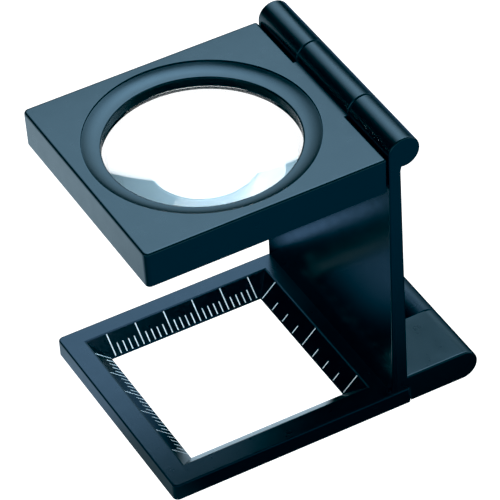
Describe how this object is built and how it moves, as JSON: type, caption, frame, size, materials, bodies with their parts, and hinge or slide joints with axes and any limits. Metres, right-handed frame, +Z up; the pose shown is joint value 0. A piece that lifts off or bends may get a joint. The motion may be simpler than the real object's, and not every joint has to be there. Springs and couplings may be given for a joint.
{
  "type": "viewing loupe",
  "caption": "Folding stand loupe: a round lens in a square holder, hinged to an upright that is hinged to a base frame with a bevelled counting window and engraved scales.",
  "frame": {"origin": "centre of the footprint, on the plane that the base frame stands on", "axes": "+Z up; +Y across the width, along both hinge axes; +X from the open front of the base frame to the hinges behind the upright"},
  "size_m": [0.0541, 0.0386, 0.0517],
  "materials": {
    "body_paint": "semi-gloss black-blue paint with a fine texture on die-cast metal",
    "ring_paint": "semi-gloss black-blue paint",
    "lens_glass": "clear polished",
    "pin_steel": "plain turned steel",
    "scale_paint": "matt white paint filled into engraved lines"
  },
  "bodies": {
    "base": {"base_frame": "body_paint", "scale_mm_far": "scale_paint", "scale_mm_front": "scale_paint", "scale_inch_back": "scale_paint", "scale_inch_near": "scale_paint"},
    "stand": {"upright": "body_paint", "upper_hinge_pin": "pin_steel", "lower_hinge_pin": "pin_steel"},
    "lens_plate": {"lens_holder": "body_paint", "lens": "lens_glass", "lens_retaining_ring": "ring_paint"}
  },
  "joints": [
    {"name": "stand_fold", "type": "hinge", "parent": "base", "child": "stand", "pos_m": [0.0245, 0, 0.00275], "axis": [0, 1, 0], "range_deg": [0, 270]},
    {"name": "lens_fold", "type": "hinge", "parent": "stand", "child": "lens_plate", "pos_m": [0.01535, 0, 0.04906], "axis": [0, 1, 0], "range_deg": [0, 270]}
  ]
}
